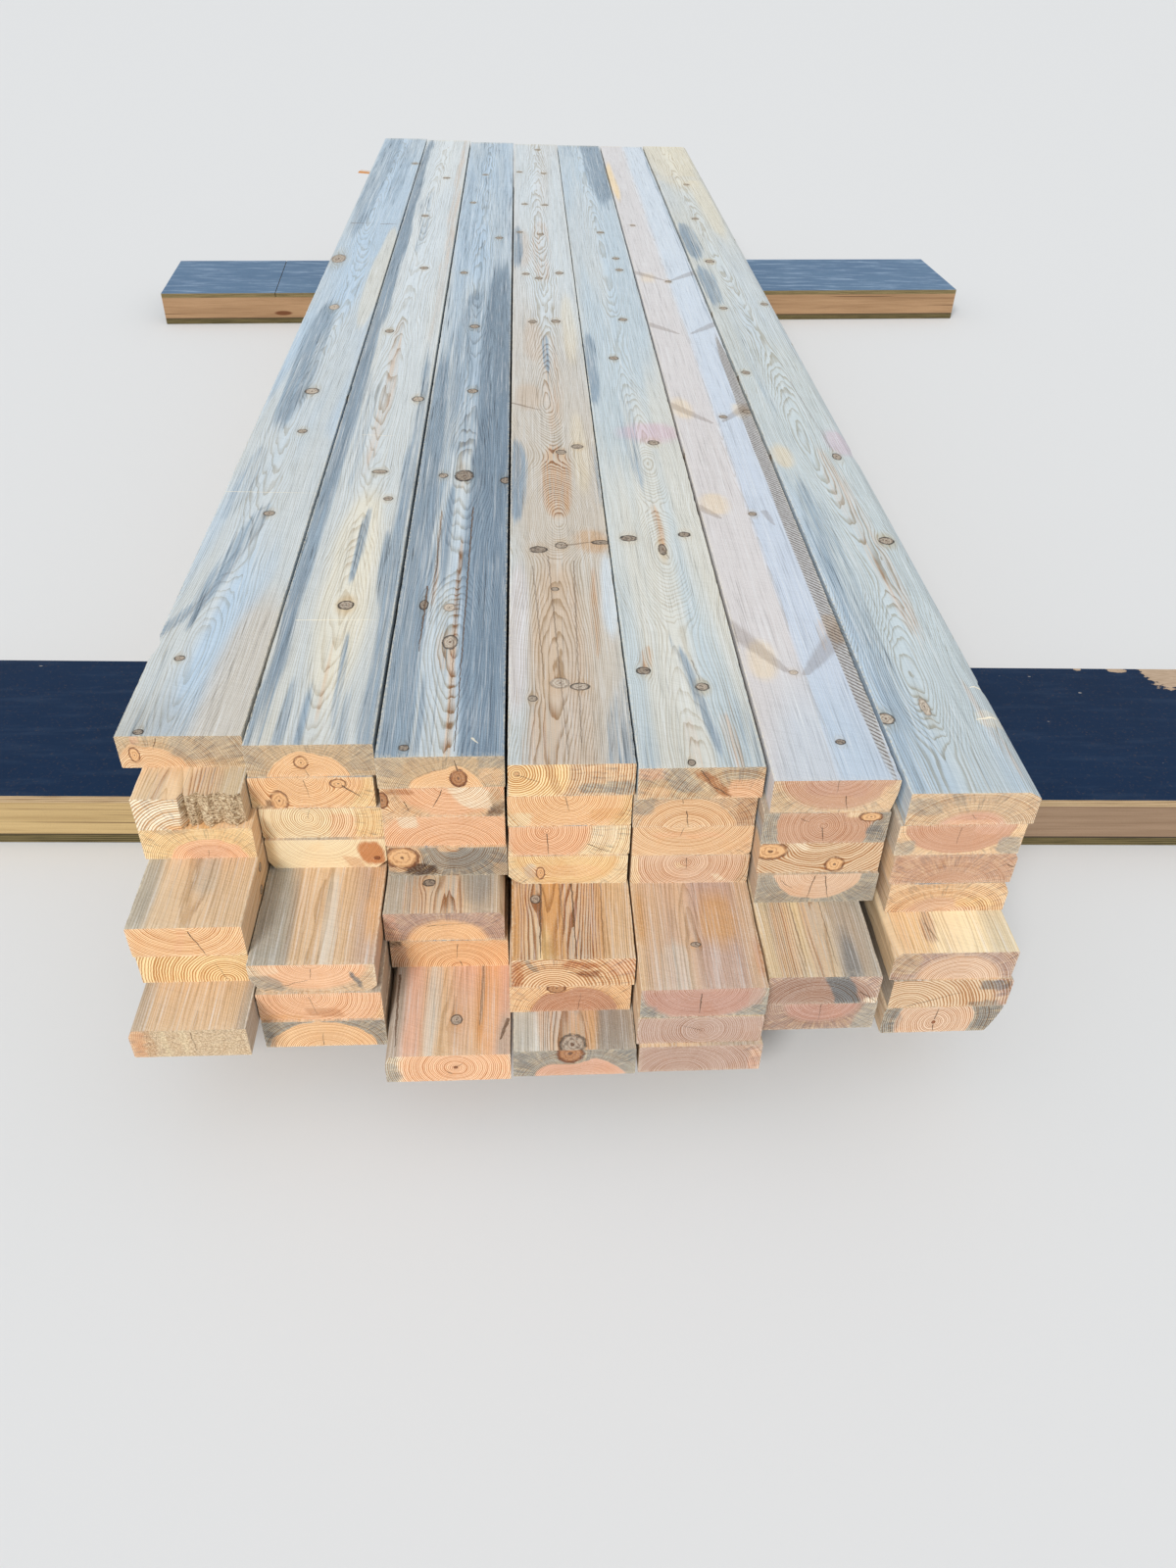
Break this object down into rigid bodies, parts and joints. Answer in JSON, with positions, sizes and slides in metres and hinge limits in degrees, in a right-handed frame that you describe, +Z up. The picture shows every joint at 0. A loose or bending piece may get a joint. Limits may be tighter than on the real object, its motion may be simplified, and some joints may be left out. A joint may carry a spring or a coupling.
{
  "type": "stack of lumber",
  "caption": "Stack of rough-sawn, blue-stained pine planks with staggered ends, laid face to face on two flat box bearers of plywood and timber.",
  "frame": {"origin": "on the ground, under the middle of the whole outline", "axes": "+X across the planks to the right, +Y along the planks from the near ends to the far ends, +Z up"},
  "size_m": [3.6222, 5.146, 0.57],
  "materials": {
    "pine": "rough sawn, blue stained and weathered",
    "lath_pine": "split, fresh",
    "rail_timber": "sawn",
    "film_faced_plywood": "dark film, smooth, scuffed"
  },
  "bodies": {
    "root": {"front_bearer_back_rail": "rail_timber", "front_bearer_bottom_sheet": "film_faced_plywood", "front_bearer_front_rail": "rail_timber", "front_bearer_top_sheet": "film_faced_plywood", "lath_end": "lath_pine", "plank_column1_layer1": "pine", "plank_column1_layer2": "pine", "plank_column1_layer3": "pine", "plank_column1_layer4": "pine", "plank_column1_layer5": "pine", "plank_column1_layer6": "pine", "plank_column1_layer7": "pine", "plank_column2_layer1": "pine", "plank_column2_layer2": "pine", "plank_column2_layer3": "pine", "plank_column2_layer4": "pine", "plank_column2_layer5": "pine", "plank_column2_layer6": "pine", "plank_column2_layer7": "pine", "plank_column3_layer1": "pine", "plank_column3_layer2": "pine", "plank_column3_layer3": "pine", "plank_column3_layer4": "pine", "plank_column3_layer5": "pine", "plank_column3_layer6": "pine", "plank_column3_layer7": "pine", "plank_column4_layer1": "pine", "plank_column4_layer2": "pine", "plank_column4_layer3": "pine", "plank_column4_layer4": "pine", "plank_column4_layer5": "pine", "plank_column4_layer6": "pine", "plank_column4_layer7": "pine", "plank_column5_layer1": "pine", "plank_column5_layer2": "pine", "plank_column5_layer3": "pine", "plank_column5_layer4": "pine", "plank_column5_layer5": "pine", "plank_column5_layer6": "pine", "plank_column5_layer7": "pine", "plank_column6_layer1": "pine", "plank_column6_layer2": "pine", "plank_column6_layer3": "pine", "plank_column6_layer4": "pine", "plank_column6_layer5": "pine", "plank_column6_layer6": "pine", "plank_column6_layer7": "pine", "plank_column7_layer1": "pine", "plank_column7_layer2": "pine", "plank_column7_layer3": "pine", "plank_column7_layer4": "pine", "plank_column7_layer5": "pine", "plank_column7_layer6": "pine", "plank_column7_layer7": "pine", "rear_bearer_back_rail": "rail_timber", "rear_bearer_bottom_sheet": "film_faced_plywood", "rear_bearer_front_rail": "rail_timber", "rear_bearer_top_sheet": "film_faced_plywood", "rear_bearer_top_sheet_end_piece": "film_faced_plywood"}
  },
  "joints": []
}
